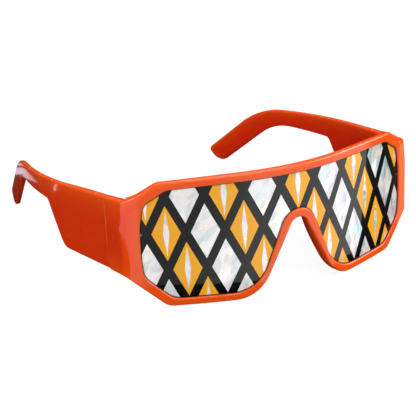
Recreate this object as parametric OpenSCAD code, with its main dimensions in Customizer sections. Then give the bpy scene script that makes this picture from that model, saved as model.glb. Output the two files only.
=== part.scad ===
// Novelty shield sunglasses: one wide lens in a moulded front, which wraps round to two folding temples.
// Outlines are drawn flat, as points [s, z]: s runs along the outer face from the middle of the front,
// and z is height. wrap() lays them on the curved face, with d as the depth behind it.
// The left half mirrors the right half. Paths run clockwise, and each corner is [s, z, tangent length].

/* [Wrap, seen from above] */
// Radius of the middle of the front
brow_radius = 75; // [65:1:95]
// Degrees that the middle turns on each side
brow_turn = 18; // [15:0.5:20]
// Radius of the flatter stretch beside it
side_radius = 255; // [200:5:350]
// Length of the flatter stretch
side_length = 45.6; // [44:0.1:49]
// Radius of the corner where the front turns back
corner_radius = 3.9; // [3.7:0.1:5]
// Heading of the temples, in degrees from straight across
temple_heading = 85; // [83:0.1:88]
// From the corner back to the hinge joint
end_piece_length = 11; // [10.5:0.1:14]

/* [Front outline] */
// Height of the top edge at its corners
top_height = 52.2; // [50:0.1:56]
// How far the top edge rises to its middle
top_rise = 1.9; // [0:0.1:3]
// Top corner, from the middle
top_corner = 57.3; // [55:0.1:60]
// Foot of the sloping shoulder, from the middle
shoulder = 68.4; // [67:0.1:70.5]
// Height of the foot of the shoulder
shoulder_height = 45.8; // [45:0.1:48]
// Height of the top edge at the hinge joint
joint_top = 43.8; // [42:0.1:45]
// Height of the bottom edge at the hinge joint
joint_bottom = 12.6; // [11:0.1:15]
// Where the lower edge turns down to the cheek, from the middle
cheek = 71.6; // [69.5:0.1:72.5]
// Height of that turn
cheek_height = 13.6; // [12:0.1:15]
// Bottom corner, from the middle
bottom_corner = 55; // [50:0.1:57]
// Foot of the nose arch, from the middle
arch_foot = 18.3; // [17:0.1:21]
// Height of the top of the nose arch
arch_top = 31.6; // [28:0.1:34]
// Half width of the nose arch at its top, before rounding
arch_half = 2.5; // [2:0.1:4]
// Depth of the rim from front to back, and thickness of the temples at the hinge joint
rim_depth = 3.2; // [3.1:0.1:3.6]
// Rounding of the rim's outer edges
rim_round = 1; // [0.6:0.1:1.1]
// Rounding of its outer edge at the corner of the wrap
wrap_round = 1.6; // [1:0.1:1.8]
// How far the top of the side bows in behind that corner
side_bow = 0.9; // [0:0.1:1.2]
// Height where the bow starts
bow_height = 32; // [30:0.5:36]

/* [Lens opening] */
// Width of the rim along the top
rim_top = 3.2; // [2.8:0.1:4]
// Width of the rim along the bottom
rim_bottom = 3.3; // [3:0.1:4.5]
// Width of the rim over the nose arch
rim_arch = 3.5; // [3:0.1:4.5]
// How far the opening's nose line stands off the arch at its foot
rim_nose = 1.6; // [1.4:0.1:3]
// How much wider the opening's arch is at its top
rim_nose_top = 3.1; // [2.4:0.1:4]
// Half width of the opening
opening_half = 64.5; // [62.5:0.1:65]
// Top corner of the opening, from the middle
opening_top_corner = 53.4; // [51:0.1:55]
// Height where the opening's shoulder meets its side
opening_shoulder = 43.1; // [41:0.1:44]
// How far in the side leans at the shoulder
shoulder_in = 1.5; // [0.8:0.1:2]
// Height over which it leans
shoulder_drop = 10; // [8:0.1:12]
// Height where the opening's side meets its cheek
opening_cheek = 12.9; // [12:0.1:15]
// How far in the side leans at the cheek
cheek_in = 0.6; // [0.2:0.1:1]
// Height over which it leans
cheek_rise = 6.8; // [5.5:0.1:8]
// Bottom corner of the opening, from the middle
opening_bottom_corner = 52.7; // [50:0.1:55]

/* [Lens] */
// Depth of the film's face behind the rim's face
lens_set = 0.9; // [0.7:0.1:1.1]
// Thickness of the lens
lens_t = 1.1; // [0.9:0.1:1.3]
// Thickness of the printed film
film_t = 0.15; // [0.1:0.05:0.3]
// How deep the groove is cut into the rim
groove_depth = 1.3; // [1.1:0.1:1.5]
// Clearance round the lens in its groove
lens_fit = 0.15; // [0.15:0.01:0.2]
// Margin of bare lens round the film
film_margin = 0.4; // [0.2:0.1:0.6]

/* [Nose pads] */
// How far the pads reach behind the rim
pad_depth = 4.4; // [3:0.1:6]
// How far their back edges splay out
pad_splay = 0.8; // [0:0.1:2]

/* [Temples] */
// Thickness of the arm
arm_t = 2.5; // [2.2:0.1:3]
// Gap at the hinge joint when the temple is open
joint_gap = 0.3; // [0.3:0.05:0.4]
// From the hinge joint to where the temple starts to bend in round the head
arm_straight = 37; // [30:1:45]
// Length before the bend over which the arm thins
arm_thinning = 20; // [10:1:30]
// Radius of that bend
arm_bend_radius = 208; // [150:2:260]
// Degrees that it turns
arm_bend = 16.7; // [10:0.1:18]
// From the joint to the lower back corner of the tall side panel
panel_length = 40.6; // [36:0.1:44]
// Height of that corner
panel_bottom = 8.2; // [7:0.1:11]
// From that corner to the top of the step
step_length = 14.7; // [12:0.1:20]
// Height of the arm's lower edge at the step
arm_bottom = 25.6; // [24:0.1:28]
// From the joint to the ear bend, along the top edge
ear_bend = 111; // [104:0.1:116]
// Height of the top edge at the ear bend
ear_top = 27.1; // [26:0.1:30]
// From the joint to the ear bend, along the lower edge
ear_bend_under = 100.2; // [96:0.1:104]
// Height of the lower edge at the ear bend
ear_under = 21.4; // [20:0.1:24]
// From the joint to the back of the tip
tip_back = 153.4; // [150:0.1:158]
// Height of the back of the tip above the front's bottom edge
tip_back_height = -4.5; // [-8:0.1:0]
// From the joint to the lowest corner of the tip
tip_low = 144; // [140:0.1:148]
// Height of that corner
tip_low_height = -10.5; // [-14:0.1:-6]
// Rounding of the temple's edges
temple_round = 1; // [0.6:0.1:1.05]

/* [Hinges] */
// Knuckles in each hinge, odd so that the front leaf has both ends
knuckles = 5; // [3:2:5]
// Height of the whole hinge
hinge_height = 9.5; // [9:0.1:12]
// Degrees that the hinge leans forward, so that a folded temple drops clear of the other one
hinge_tilt = 0.8; // [0.6:0.1:1.2]
// Radius of the knuckles
knuckle_r = 1.4; // [1.3:0.05:1.5]
// Radius of the hinge screw
screw_r = 0.6; // [0.5:0.05:0.7]
// Radial clearance of the hinge screw
screw_fit = 0.04; // [0.02:0.01:0.08]
// Gap between two knuckles
knuckle_gap = 0.3; // [0.3:0.05:0.4]
// Thickness of the leaf plates
leaf_t = 0.8; // [0.6:0.05:0.9]
// Length of a leaf plate, from the hinge axis
leaf_length = 9.2; // [8.8:0.1:10]
// Clearance between knuckles and the plates and walls beside them
knuckle_clear = 0.3; // [0.25:0.05:0.4]
// Radius of the small leaf screws
leaf_screw_r = 0.5; // [0.4:0.05:0.6]
// How deep the leaf screws reach into the plastic
leaf_screw_depth = 1.6; // [1.2:0.1:1.9]

/* [Stand] */
// Depth of the small flats that the glasses stand on
foot_flat = 0.2; // [0.1:0.05:0.3]

/* [Hidden] */
$fn = 32;

plastic = [0.94, 0.35, 0.17];
metal = [0.78, 0.78, 0.8];

// The course of the outer face from above: stretches of [length, radius], where radius 0 is straight.
function arc_length(r, degrees) = r * degrees * PI / 180;
brow_length = arc_length(brow_radius, brow_turn);
side_turn = side_length / side_radius * 180 / PI;
corner_turn = temple_heading - brow_turn - side_turn;
corner_from = brow_length + side_length;
corner_to = corner_from + arc_length(corner_radius, corner_turn);
joint = corner_to + end_piece_length;
root = joint + joint_gap;
bend_from = joint + arm_straight;
course = [[brow_length, brow_radius], [side_length, side_radius],
    [corner_to - corner_from, corner_radius], [bend_from - corner_to, 0],
    [arc_length(arm_bend_radius, arm_bend), arm_bend_radius], [200, 0]];

// One step along the course from p = [x, y, heading].
function advance(p, l, r) = r == 0
    ? [p.x + l * cos(p.z), p.y + l * sin(p.z), p.z]
    : let (b = p.z + l / r * 180 / PI)
        [p.x + r * (sin(b) - sin(p.z)), p.y - r * (cos(b) - cos(p.z)), b];
function walk(s, i = 0, p = [0, 0, 0]) = i == len(course) - 1 || s <= course[i][0]
    ? advance(p, s, course[i][1])
    : walk(s - course[i][0], i + 1, advance(p, course[i][0], course[i][1]));
function wrap(s, z, d) = let (p = walk(abs(s)))
    [sign(s) * (p.x - d * sin(p.z)), p.y + d * cos(p.z), z];

// Flat outlines. A corner is rounded by the circular arc that leaves its sides at its tangent length.
function flat(v) = [v.x, v.y];
function unit(v) = v / norm(v);
function mix(a, b, f) = a + (b - a) * f;
function bend(a, v, b, t, n) = let (
        da = unit(a - v), db = unit(b - v),
        w = sqrt((1 - da * db) / 2),
        p = v + t * da, q = v + t * db)
    [for (i = [0:n]) let (u = i / n, kp = (1 - u) ^ 2, kv = 2 * u * (1 - u) * w, kq = u ^ 2)
        (kp * p + kv * v + kq * q) / (kp + kv + kq)];

// A path with arcs of arcs[i] steps at its corners and runs[i] steps along its straight sides.
function corner_arc(path, arcs, i) = i == 0 || i == len(path) - 1
    ? [flat(path[i])]
    : bend(flat(path[i - 1]), flat(path[i]), flat(path[i + 1]), path[i].z, arcs[i]);
function rounded(path, arcs, runs) = let (c = [for (i = [0:len(path) - 1]) corner_arc(path, arcs, i)])
    [for (i = [0:len(path) - 1]) each concat(c[i],
        i == len(path) - 1 ? [] : let (a = c[i][len(c[i]) - 1], b = c[i + 1][0])
            [for (j = [1:1:runs[i] - 1]) mix(a, b, j / runs[i])])];

// The path moved outwards by e, with its arcs kept concentric.
function turned(d) = [-d.y, d.x];
function shift_corner(path, e, i) = let (
        last = len(path) - 1,
        before = i == 0 ? flat(path[0]) - [1, 0] : flat(path[i - 1]),
        after = i == last ? flat(path[last]) - [1, 0] : flat(path[i + 1]),
        d1 = unit(flat(path[i]) - before), d2 = unit(after - flat(path[i])),
        v = flat(path[i]) + e * (turned(d1) + turned(d2)) / (1 + d1 * d2))
    [v.x, v.y, path[i].z - e * cross(d1, d2) / (1 + d1 * d2)];
function shifted(path, e) = [for (i = [0:len(path) - 1]) shift_corner(path, e, i)];

// The top edge rises to its middle, and all above the nose arch rises with it.
function lift(p) = [p.x, p.y + top_rise * max(0, 1 - (p.x / top_corner) ^ 2)
    * max(0, p.y - arch_top) / (top_height - arch_top)];
function lifted(points) = [for (p = points) lift(p)];

// The right half of the front's outer edge and of the lens opening, corner for corner.
nose_slope = (arch_foot - arch_half) / arch_top;
front_path = [[0, top_height, 0], [top_corner, top_height, 1], [shoulder, shoulder_height, 5],
    [joint, joint_top, 0.4], [joint, joint_bottom, 0.4], [cheek, cheek_height, 2.4],
    [bottom_corner, 0, 2.4], [arch_foot, 0, 10], [arch_half, arch_top, arch_half - 0.1], [0, arch_top, 0]];
opening_path = [[0, top_height - rim_top, 0], [opening_top_corner, top_height - rim_top, 2.5],
    [opening_half - shoulder_in, opening_shoulder, 3], [opening_half, opening_shoulder - shoulder_drop, 2],
    [opening_half, opening_cheek + cheek_rise, 2], [opening_half - cheek_in, opening_cheek, 3],
    [opening_bottom_corner, rim_bottom, 3],
    [arch_foot - rim_bottom * nose_slope + rim_nose, rim_bottom, 10.8],
    [arch_half + rim_nose_top, arch_top + rim_arch, arch_half + rim_nose_top - 0.1],
    [0, arch_top + rim_arch, 0]];
corner_steps = [0, 3, 4, 2, 2, 4, 4, 8, 8, 0];
side_steps = [9, 3, 4, 5, 4, 3, 6, 6, 1];

function ring(half) = concat(half, [for (i = [len(half) - 2:-1:1]) [-half[i].x, half[i].y]]);
front_edge = ring(lifted(rounded(front_path, corner_steps, side_steps)));
opening_edge = ring(lifted(rounded(opening_path, corner_steps, side_steps)));
groove_edge = ring(lifted(rounded(shifted(opening_path, groove_depth), corner_steps, side_steps)));

// The pads swell behind the rim along the sides of the nose arch, most of all high up.
pad_foot = 0.5;
pad_reach = 4;
function pad(p) = let (u = (p.y - pad_foot) / (arch_top - pad_foot))
    abs(p.x) > arch_foot + pad_reach || u < 0 || u > 1 ? 0 : pad_depth * sin(180 * u ^ 1.6) ^ 0.55;

// Places across the rim where the face must be cut to follow the corner of the wrap, in mm from its edge.
corner_cuts = 5;
cut_step = 0.22;
function cuts(o, i, r) = [for (j = [0:corner_cuts - 1]) let (
        s = mix(corner_to, corner_from, j / (corner_cuts - 1)), reach = abs(o.x) - s,
        w = reach > 0 ? reach / (abs(o.x) - abs(i.x)) * norm(i - o) : 0)
    max(w, r + (j + 1) * cut_step)];

// At the corner of the wrap the outer edge is rounded more and the side bows in towards its top. Both
// grow from one place along the wrap to another, and fade out over the last stretch before the joint.
fade_length = 8;
function grown(s, from, to) = min(1, max(0, (s - from) / (to - from)), max(0, (joint - s) / fade_length));
function edge_round(s) = mix(rim_round, wrap_round, grown(s, top_corner, shoulder));
function bow(s, z) = side_bow * grown(s, opening_half + groove_depth, corner_from)
    * min(1, max(0, z - bow_height) / (shoulder_height - bow_height)) ^ 2;

// One section across the rim, from its outer edge o to the opening's edge i, with the lens groove to g.
lip = 0.4;
groove_front = lens_set - lens_fit;
groove_back = lens_set + film_t + lens_t + lens_fit;
function rim_section(o, i, g) = let (
        w = norm(i - o), across = unit(i - o),
        t = rim_depth + pad(o), splay = pad_splay * pad(o) / pad_depth,
        ends = abs(o.x) > joint - 0.01,
        r = ends ? joint_gap : rim_round, f = ends ? joint_gap : edge_round(abs(o.x)), c = cuts(o, i, f))
    concat(
        [for (a = [0:30:90]) [o + across * f * (1 - cos(a)), f * (1 - sin(a))]],
        [for (x = c) [o + across * x, 0]],
        [[i - across * lip, 0], [i, lip], [i, groove_front]],
        [[g, groove_front], [g, groove_back], [i, groove_back]],
        [[i + across * splay, t - lip], [i + across * (splay - lip), t]],
        [for (j = [corner_cuts - 1:-1:0]) [o + across * (c[j] + splay * (c[j] / w)), t]],
        [for (a = [90:-45:0]) [o + across * (splay * 0.6 + r * (1 - cos(a))), t - r * (1 - sin(a))]]);
rim_points = [for (k = [len(front_edge) - 1:-1:0])
    [for (q = rim_section(front_edge[k], opening_edge[k], groove_edge[k]))
        wrap(q[0].x, q[0].y, q[1] + bow(abs(q[0].x), q[0].y))]];

// The temple's edge, from the joint along the top to the tip and back: as many corners above as below.
top_slope = (joint_top - ear_top) / ear_bend;
function top_at(x) = joint_top - top_slope * x;
temple_path = [[root, top_at(0), 0], [joint + panel_length, top_at(panel_length), 4],
    [joint + panel_length + step_length, top_at(panel_length + step_length), 3],
    [joint + ear_bend, ear_top, 17.5], [joint + tip_back, tip_back_height, 3],
    [joint + tip_low, tip_low_height, 6.5], [joint + ear_bend_under, ear_under, 12.8],
    [joint + panel_length + step_length, arm_bottom, 2], [joint + panel_length, panel_bottom, 3.7],
    [root, joint_bottom, 0]];
temple_arcs = [0, 2, 3, 8, 4, 8, 8, 4, 3, 0];
temple_runs = [5, 4, 7, 7, 1, 4, 6, 3, 4];

// The temple is built up from that edge at one depth after the other, inset where its edges are rounded.
// side is 1 for depths from its inner face and 0 for depths from its outer face.
function temple_t(s) = mix(rim_depth, arm_t, min(1, max(0, s - bend_from + arm_thinning) / arm_thinning));
function temple_edge(inset) = rounded(shifted(temple_path, -inset), temple_arcs, temple_runs);
function temple_ring(inset, side, depth) = [for (p = temple_edge(inset))
    wrap(max(p.x, root + joint_gap * inset / temple_round), p.y, side * temple_t(p.x) + depth)];
edge_angles = [90:-30:0];
temple_points = concat(
    [for (a = edge_angles) temple_ring(temple_round * (1 - cos(a)), 1, -temple_round * (1 - sin(a)))],
    [for (a = edge_angles) temple_ring(temple_round * (1 - sin(a)), 0, temple_round * (1 - cos(a)))]);

// The glasses lean a little so that they stand on the front's bottom edges and the tips of the temples.
all_rim = [for (ring = rim_points) each ring];
all_temple = [for (ring = temple_points) each ring];
function low(points, lean) = min([for (p = points) p.z * cos(lean) + p.y * sin(lean)]);
function level(lean, n) = n == 0 ? lean : let (drop = low(all_rim, lean) - low(all_temple, lean))
    level(lean + atan(drop / max([for (p = all_temple) p.y])), n - 1);
lean = level(0, 5);
foot_z = low(all_rim, lean) + foot_flat;
function leaning(p) = [p.x, p.y * cos(lean) - p.z * sin(lean), p.y * sin(lean) + p.z * cos(lean)];
front_y = min([for (p = all_rim) leaning(p).y]);
back_y = max([for (p = all_temple) leaning(p).y]);
middle_y = (front_y + back_y) / 2;
function stood(p) = let (q = leaning(p)) [q.x, q.y - middle_y, max(0, q.z - foot_z)];
module stand() translate([0, -middle_y, -foot_z]) rotate([lean, 0, 0]) children();

// A closed skin over rings of points: closed into a ring, or with its two ends capped by a ladder of faces.
module loft(rings, closed) {
    n = len(rings[0]);
    m = len(rings);
    faces = [for (k = [0:m - (closed ? 1 : 2)]) for (i = [0:n - 1]) let (
            a = k * n + i, b = k * n + (i + 1) % n,
            c = (k + 1) % m * n + (i + 1) % n, d = (k + 1) % m * n + i)
        each [[a, b, c], [a, c, d]]];
    ends = closed ? [] : [for (i = [0:n / 2 - 2]) let (
            a = i, b = i + 1, c = n - 2 - i, d = n - 1 - i, l = (m - 1) * n)
        each [[a, d, c], [a, c, b], [l + a, l + b, l + c], [l + a, l + c, l + d]]];
    polyhedron([for (ring = rings) for (p = ring) stood(p)], concat(faces, ends));
}

// The lens and its film are sheets between an upper and a lower edge, cut square to the wrap at each s.
function rising(path) = [for (i = [0:len(path) - 2])
    if (i == 0 || path[i].x > path[i - 1].x + 0.001) path[i]];
function falling(path) = [for (i = [0:len(path) - 1])
    if (i == len(path) - 1 || path[i + 1].x < path[i].x - 0.001) path[i]];
lens_steps = 30;
lens_half = opening_half + groove_depth - lens_fit;
lens_stations = [for (k = [0:lens_steps]) lens_half * (1 - cos(180 * k / lens_steps)) / 2];
function sheet_rings(outset, front, back) = let (
        half = opening_half + outset,
        path = lifted(rounded(shifted(opening_path, outset), corner_steps, side_steps)),
        upper = rising(path), lower = falling(path),
        right = concat([for (s = lens_stations) if (s < half - 0.01) s], [half]),
        both = concat([for (k = [len(right) - 1:-1:1]) -right[k]], right))
    [for (s = both) let (a = lookup(abs(s), upper), b = lookup(abs(s), lower))
        [wrap(s, b, front), wrap(s, a, front), wrap(s, a, back), wrap(s, b, back)]];
module sheet(outset, front, back) loft(sheet_rings(outset, front, back), false);

// Hinge parts stand at the joint: x runs back along the temple, y inwards from the outer face.
hinge_height_at = (joint_top + joint_bottom) / 2;
axis_depth = rim_depth + knuckle_clear + knuckle_r;
knuckle_pitch = (hinge_height + knuckle_gap) / knuckles;
leaf_edge = knuckle_r + knuckle_clear;
leaf_screw_x = leaf_length - 2.4;
leaf_screw_fit = 0.03;
leaf_head_r = leaf_screw_r + 0.4;
leaf_head_t = 0.35;
pin_head_r = knuckle_r - 0.25;
pin_head_t = 0.5;
slot_w = 0.3;
module at_hinge() stand() translate(wrap(joint + joint_gap / 2, hinge_height_at, 0))
    rotate([0, 0, temple_heading]) rotate([0, -hinge_tilt, 0]) children();
module left() mirror([1, 0, 0]) children();

// A leaf that lies on the wall on the side of the joint that way points to, with every second knuckle.
module leaf(way, first) difference() {
    union() {
        translate([way > 0 ? leaf_edge : -leaf_length, rim_depth, -hinge_height / 2])
            cube([leaf_length - leaf_edge, leaf_t, hinge_height]);
        for (i = [first:2:knuckles - 1]) translate([0, 0, i * knuckle_pitch - hinge_height / 2]) {
            translate([0, axis_depth, 0]) cylinder(r = knuckle_r, h = knuckle_pitch - knuckle_gap);
            translate([way > 0 ? 0 : -knuckle_r, rim_depth, 0])
                cube([knuckle_r, axis_depth - rim_depth, knuckle_pitch - knuckle_gap]);
            translate([way > 0 ? 0 : -leaf_edge, rim_depth, 0])
                cube([leaf_edge, leaf_t, knuckle_pitch - knuckle_gap]);
        }
    }
    translate([0, axis_depth, -hinge_height]) cylinder(r = screw_r + screw_fit, h = 2 * hinge_height);
    leaf_screw_places(way) cylinder(r = leaf_screw_r + leaf_screw_fit, h = 3 * leaf_t, center = true);
}

// The two leaf screws' places, with z pointing inwards from the wall's face.
module leaf_screw_places(way) for (z = [-1, 1])
    translate([way * leaf_screw_x, rim_depth, z * hinge_height / 4]) rotate([-90, 0, 0]) children();
module leaf_screw_holes(way) leaf_screw_places(way)
    translate([0, 0, -leaf_screw_depth - 0.1]) cylinder(r = leaf_screw_r + leaf_screw_fit, h = rim_depth);
module leaf_screws(way) leaf_screw_places(way) difference() {
    union() {
        translate([0, 0, -leaf_screw_depth]) cylinder(r = leaf_screw_r, h = leaf_screw_depth + leaf_t);
        translate([0, 0, leaf_t]) cylinder(r1 = leaf_head_r, r2 = leaf_head_r - 0.2, h = leaf_head_t);
    }
    translate([-leaf_head_r, -slot_w / 2, leaf_t + leaf_head_t / 2])
        cube([2 * leaf_head_r, slot_w, leaf_head_t]);
}
module hinge_screw() translate([0, axis_depth, -hinge_height / 2]) difference() {
    union() {
        cylinder(r = screw_r, h = hinge_height);
        translate([0, 0, hinge_height]) cylinder(r1 = pin_head_r, r2 = pin_head_r - 0.2, h = pin_head_t);
    }
    translate([-pin_head_r, -slot_w / 2, hinge_height + pin_head_t / 2])
        cube([2 * pin_head_r, slot_w, pin_head_t]);
}

module front_frame() color(plastic) difference() {
    loft(rim_points, true);
    at_hinge() leaf_screw_holes(-1);
    left() at_hinge() leaf_screw_holes(-1);
}
module shield_lens() color([0.3, 0.3, 0.32, 0.9])
    sheet(groove_depth - lens_fit, lens_set + film_t, lens_set + film_t + lens_t);
module print_film() color([0.95, 0.7, 0.25])
    sheet(groove_depth - lens_fit - film_margin, lens_set, lens_set + film_t);
module temple_right() color(plastic) difference() {
    loft(temple_points, false);
    at_hinge() leaf_screw_holes(1);
}
module hinge_front_leaf_right() color(metal) at_hinge() leaf(-1, 0);
module hinge_temple_leaf_right() color(metal) at_hinge() leaf(1, 1);
module hinge_screw_right() color(metal) at_hinge() hinge_screw();
module front_leaf_screws_right() color(metal) at_hinge() leaf_screws(-1);
module temple_leaf_screws_right() color(metal) at_hinge() leaf_screws(1);

module temple_left() left() temple_right();
module hinge_front_leaf_left() left() hinge_front_leaf_right();
module hinge_temple_leaf_left() left() hinge_temple_leaf_right();
module hinge_screw_left() left() hinge_screw_right();
module front_leaf_screws_left() left() front_leaf_screws_right();
module temple_leaf_screws_left() left() temple_leaf_screws_right();

front_frame();
shield_lens();
print_film();
temple_right();
temple_left();
hinge_front_leaf_right();
hinge_front_leaf_left();
hinge_temple_leaf_right();
hinge_temple_leaf_left();
hinge_screw_right();
hinge_screw_left();
front_leaf_screws_right();
front_leaf_screws_left();
temple_leaf_screws_right();
temple_leaf_screws_left();
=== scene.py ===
# Shield sunglasses: a glossy moulded front, a printed lens and two folding temples.
import math

import bmesh
import bpy
import numpy as np
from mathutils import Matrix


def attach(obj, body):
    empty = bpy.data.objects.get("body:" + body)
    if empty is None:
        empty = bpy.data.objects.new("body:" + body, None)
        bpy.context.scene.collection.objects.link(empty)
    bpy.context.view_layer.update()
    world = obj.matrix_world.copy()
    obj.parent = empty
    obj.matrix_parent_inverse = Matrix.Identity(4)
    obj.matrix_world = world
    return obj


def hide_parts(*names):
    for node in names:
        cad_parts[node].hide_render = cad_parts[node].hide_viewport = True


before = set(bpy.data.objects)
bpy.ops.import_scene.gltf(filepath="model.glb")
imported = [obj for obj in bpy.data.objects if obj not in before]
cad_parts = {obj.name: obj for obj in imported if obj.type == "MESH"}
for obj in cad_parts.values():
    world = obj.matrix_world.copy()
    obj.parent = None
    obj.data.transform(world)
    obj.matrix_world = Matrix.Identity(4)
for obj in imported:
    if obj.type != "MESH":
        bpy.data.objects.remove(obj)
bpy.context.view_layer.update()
print("Loaded the packed frame")

mm = 0.001

# The course of the outer face seen from above, in mm and degrees, as the solids have it. The tail's run is
# longer than any tail.
course = {
    "browRadius": 75.0,
    "browTurn": 18.0,
    "sideRadius": 255.0,
    "sideLength": 45.6,
    "cornerRadius": 3.9,
    "templeHeading": 85.0,
    "endPiece": 11.0,
    "jointGap": 0.3,
    "armStraight": 37.0,
    "armBendRadius": 208.0,
    "armBend": 16.7,
    "tailRun": 200.0,
    "leanBack": 2.8303,
    "footHeight": 0.5023,
    "middleDepth": 91.509,
}


def arcLength(radius, degrees):
    # the radius times the angle
    return radius * math.radians(degrees)


# Distances along the course, and its stretches from the middle outwards, each a length and a radius, where
# a radius of 0 is straight.
browLength = arcLength(course["browRadius"], course["browTurn"])
sideTurn = math.degrees(course["sideLength"] / course["sideRadius"])
cornerFrom = browLength + course["sideLength"]
cornerTurn = course["templeHeading"] - course["browTurn"] - sideTurn
cornerTo = cornerFrom + arcLength(course["cornerRadius"], cornerTurn)
joint = cornerTo + course["endPiece"]
root = joint + course["jointGap"]
bendFrom = joint + course["armStraight"]
stretches = [
    (browLength, course["browRadius"]),
    (course["sideLength"], course["sideRadius"]),
    (cornerTo - cornerFrom, course["cornerRadius"]),
    (bendFrom - cornerTo, 0.0),
    (arcLength(course["armBendRadius"], course["armBend"]), course["armBendRadius"]),
    (course["tailRun"], 0.0),
]


def wrapped(s, z, d):
    # Places flat points on the wrap: s runs along the outer face, z is height, and d is depth behind it.
    # Each stretch adds the chord of the part of s that lies in it, and the depth goes along the last normal.
    # Then all of it leans back, and nothing goes below the floor.
    s, z, d = np.broadcast_arrays(np.asarray(s, float), np.asarray(z, float), np.asarray(d, float))
    x = np.zeros(s.shape)
    y = np.zeros(s.shape)
    heading = np.zeros(s.shape)
    turned = 0.0
    start = 0.0
    for length, radius in stretches:
        part = np.clip(np.abs(s) - start, 0.0, length)
        if radius:
            angle = part / radius
            x += radius * (np.sin(turned + angle) - math.sin(turned))
            y -= radius * (np.cos(turned + angle) - math.cos(turned))
            heading += angle
            turned += length / radius
        else:
            x += part * math.cos(turned)
            y += part * math.sin(turned)
        start += length
    x = np.sign(s) * (x - d * np.sin(heading))
    y = y + d * np.cos(heading)
    lean = math.radians(course["leanBack"])
    back = y * math.cos(lean) - z * math.sin(lean) - course["middleDepth"]
    up = np.maximum(0.0, y * math.sin(lean) + z * math.cos(lean) - course["footHeight"])
    return np.stack([x, back, up], -1) * mm


def cornerArc(before, corner, after, tangent, steps):
    # the circular arc that leaves both sides of a corner at the tangent length, as a rational quadratic
    toBefore = (before - corner) / np.linalg.norm(before - corner)
    toAfter = (after - corner) / np.linalg.norm(after - corner)
    weight = math.sqrt((1 - toBefore @ toAfter) / 2)
    u = np.linspace(0, 1, steps + 1)[:, None]
    a, b, c = (1 - u) ** 2, 2 * u * (1 - u) * weight, u ** 2
    points = a * (corner + tangent * toBefore) + b * corner + c * (corner + tangent * toAfter)
    return points / (a + b + c)


def roundedPath(path, arcs, runs):
    # an open path of [s, z, tangent] corners, each rounded by an arc, with evenly cut straight runs between
    path = np.array(path, float)
    flat = path[:, :2]
    parts = [flat[:1]]
    for i in range(1, len(path)):
        nextPart = flat[i:i + 1] if i == len(path) - 1 else cornerArc(
            flat[i - 1], flat[i], flat[i + 1], path[i, 2], arcs[i])
        steps = np.linspace(0, 1, runs[i - 1] + 1)[1:-1, None]
        parts.append(parts[-1][-1] * (1 - steps) + nextPart[0] * steps)
        parts.append(nextPart)
    return np.concatenate(parts)


def shiftedPath(path, outset):
    # the path moved outwards, each corner along its mitre, with a tangent length that keeps its arc's middle
    path = np.array(path, float)
    flat = path[:, :2]
    level = np.array([[-1.0, 0.0]])
    ahead = np.diff(np.concatenate([flat[:1] + level, flat, flat[-1:] + level]), axis=0)
    ahead /= np.linalg.norm(ahead, axis=1)[:, None]
    first, second = ahead[:-1], ahead[1:]
    across = np.stack([-(first + second)[:, 1], (first + second)[:, 0]], -1)
    share = 1 + (first * second).sum(1)
    turn = first[:, 0] * second[:, 1] - first[:, 1] * second[:, 0]
    return np.concatenate([flat + outset * across / share[:, None],
                           (path[:, 2] - outset * turn / share)[:, None]], 1)


# How the painted light gathers in the plastic's colour near its edges, where light comes through: the reach
# in mm, the share of it that painted shade takes away further back, the painted shade that gathers over the
# lip of the lens opening, the shortest and the longest straight piece that still count as an edge, in mm,
# and the batches that keep the memory small.
edgeLight = {
    "reach": 5.0,
    "depthLoss": 0.7,
    "lipShade": 0.9,
    "shortestPiece": 0.00003,
    "longestPiece": 10.0,
    "batches": 24,
}


def nearEdge(flat, *outlines):
    # How near flat points are to open outlines: e to the power of minus the least distance over the reach.
    # The distance is to the nearest point of each straight piece, which spans two steps of an outline, and a
    # piece that is too long is a gap.
    starts = np.concatenate([outline[:-1:2] for outline in outlines])
    ends = np.concatenate([outline[1:][1::2] if len(outline) % 2 else
                           np.concatenate([outline[2::2], outline[-1:]]) for outline in outlines])
    ahead = ends - starts
    lengths = (ahead ** 2).sum(-1)
    kept = (lengths > edgeLight["shortestPiece"] ** 2) & (lengths < edgeLight["longestPiece"] ** 2)
    starts, ahead, lengths = starts[kept], ahead[kept], lengths[kept]
    nearest = np.full(flat.shape[:-1], np.inf)
    for chosen in np.array_split(np.arange(len(starts)), edgeLight["batches"]):
        away = flat[..., None, :] - starts[chosen]
        share = ((away * ahead[chosen]).sum(-1) / lengths[chosen]).clip(0, 1)[..., None]
        apart = ((away - share * ahead[chosen]) ** 2).sum(-1).min(-1)
        nearest = np.minimum(nearest, apart)
    return np.exp(-np.sqrt(nearest) / edgeLight["reach"])


# How a mesh is closed up: how near two points become one and how short an edge goes, in metres, and the
# angle past which an edge stays sharp, in degrees.
closing = {
    "mergeWithin": 2e-6,
    "leastEdge": 1e-7,
    "sharpAngle": 35.0,
}


def meshPiece(name, vertices, faces, marks):
    # A closed piece from points and faces: doubles merged, faces turned outwards, and shaded smooth between
    # its sharp edges. Each of the marks is a number at every point, which its material reads.
    mesh = bpy.data.meshes.new(name)
    mesh.from_pydata(vertices.tolist(), [], faces.tolist())
    for mark, values in marks.items():
        mesh.attributes.new(mark, "FLOAT", "POINT").data.foreach_set("value", values.ravel())
    work = bmesh.new()
    work.from_mesh(mesh)
    bmesh.ops.remove_doubles(work, verts=work.verts, dist=closing["mergeWithin"])
    bmesh.ops.dissolve_degenerate(work, edges=work.edges, dist=closing["leastEdge"])
    bmesh.ops.recalc_face_normals(work, faces=work.faces)
    work.to_mesh(mesh)
    work.free()
    mesh.shade_smooth()
    mesh.set_sharp_from_angle(angle=math.radians(closing["sharpAngle"]))
    piece = bpy.data.objects.new(name, mesh)
    bpy.context.collection.objects.link(piece)
    return piece


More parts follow.
